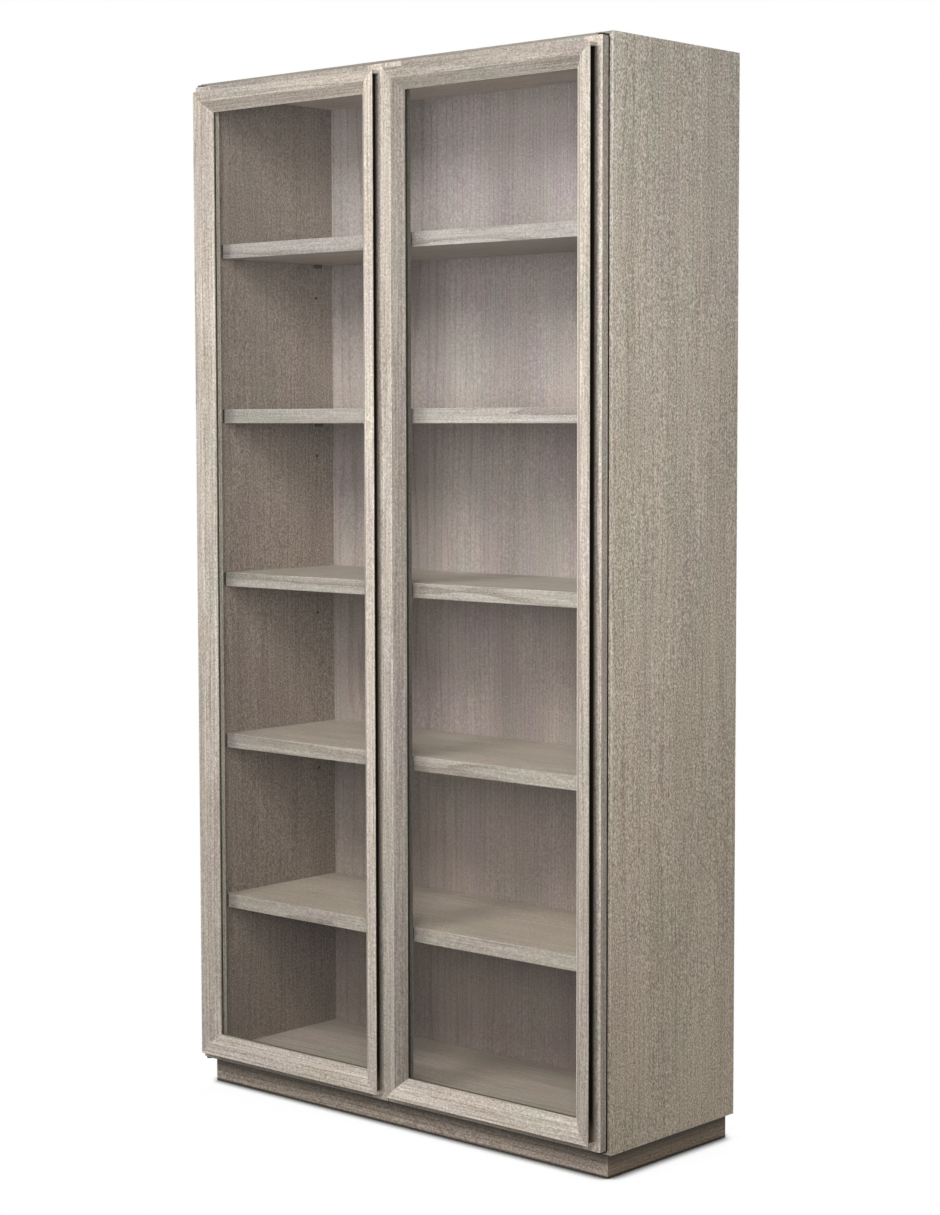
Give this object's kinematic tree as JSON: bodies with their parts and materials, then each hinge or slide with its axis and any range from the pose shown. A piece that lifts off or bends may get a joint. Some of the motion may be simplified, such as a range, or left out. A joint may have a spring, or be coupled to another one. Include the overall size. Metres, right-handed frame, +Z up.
{
  "type": "glass-door bookcase",
  "caption": "Tall case on a recessed plinth, with framed glass doors on pivot brackets and loose shelves on pegs behind them.",
  "frame": {"origin": "on the floor, under the middle of the whole outline with the doors closed", "axes": "+Z up, -Y out of the doors towards the viewer, +X to the viewer's right when facing the doors"},
  "size_m": [1.19, 0.4654, 2.286],
  "materials": {
    "case_veneer": "grey-washed oak veneer, matte lacquer, upright grain",
    "back_veneer": "grey-washed oak veneer, matte lacquer, upright grain",
    "shelf_veneer": "grey-washed oak veneer, matte lacquer, grain along the shelf",
    "door_face_veneer": "grey-washed oak, matte lacquer, grain along each member",
    "door_frame_veneer": "grey-washed oak, matte lacquer, grain along each member",
    "plinth_veneer": "grey-brown oak veneer, matte lacquer",
    "inner_wood": "plain beech and birch, unfinished",
    "door_glass": "clear float glass, slightly green at the edges",
    "gasket": "black, matte",
    "bracket_steel": "dark bronze, satin",
    "plated_steel": "zinc plated",
    "bush_plastic": "black nylon",
    "catch_plastic": "dark brown, matte",
    "support_plastic": "black, matte",
    "felt": "dark brown felt"
  },
  "bodies": {
    "case": {"back_panel": "back_veneer", "floor_panel": "case_veneer", "left_side_panel": "case_veneer", "magnetic_catches": "catch_plastic", "mitre_tongues": "inner_wood", "pivot_brackets": "bracket_steel", "plinth_back_board": "plinth_veneer", "plinth_corner_blocks": "inner_wood", "plinth_front_board": "plinth_veneer", "plinth_left_board": "plinth_veneer", "plinth_right_board": "plinth_veneer", "right_side_panel": "case_veneer", "shelf_1": "shelf_veneer", "shelf_1_supports": "support_plastic", "shelf_2": "shelf_veneer", "shelf_2_supports": "support_plastic", "shelf_3": "shelf_veneer", "shelf_3_supports": "support_plastic", "shelf_4": "shelf_veneer", "shelf_4_supports": "support_plastic", "shelf_5": "shelf_veneer", "shelf_5_supports": "support_plastic", "top_panel": "case_veneer"},
    "left_door": {"left_door_bumpers": "felt", "left_door_catch_plates": "plated_steel", "left_door_face_bottom_rail": "door_face_veneer", "left_door_face_hinge_stile": "door_face_veneer", "left_door_face_meeting_stile": "door_face_veneer", "left_door_face_top_rail": "door_face_veneer", "left_door_frame_bottom_rail": "door_frame_veneer", "left_door_frame_hinge_stile": "door_frame_veneer", "left_door_frame_meeting_stile": "door_frame_veneer", "left_door_frame_top_rail": "door_frame_veneer", "left_door_gasket": "gasket", "left_door_glass": "door_glass", "left_door_pivot_bushes": "bush_plastic"},
    "right_door": {"right_door_bumpers": "felt", "right_door_catch_plates": "plated_steel", "right_door_face_bottom_rail": "door_face_veneer", "right_door_face_hinge_stile": "door_face_veneer", "right_door_face_meeting_stile": "door_face_veneer", "right_door_face_top_rail": "door_face_veneer", "right_door_frame_bottom_rail": "door_frame_veneer", "right_door_frame_hinge_stile": "door_frame_veneer", "right_door_frame_meeting_stile": "door_frame_veneer", "right_door_frame_top_rail": "door_frame_veneer", "right_door_gasket": "gasket", "right_door_glass": "door_glass", "right_door_pivot_bushes": "bush_plastic"}
  },
  "joints": [
    {"name": "left_door_hinge", "type": "hinge", "parent": "case", "child": "left_door", "pos_m": [-0.5785, -0.20225, 1.169], "axis": [0, 0, -1], "range_deg": [0, 110]},
    {"name": "right_door_hinge", "type": "hinge", "parent": "case", "child": "right_door", "pos_m": [0.5785, -0.20225, 1.169], "axis": [0, 0, 1], "range_deg": [0, 110]}
  ]
}
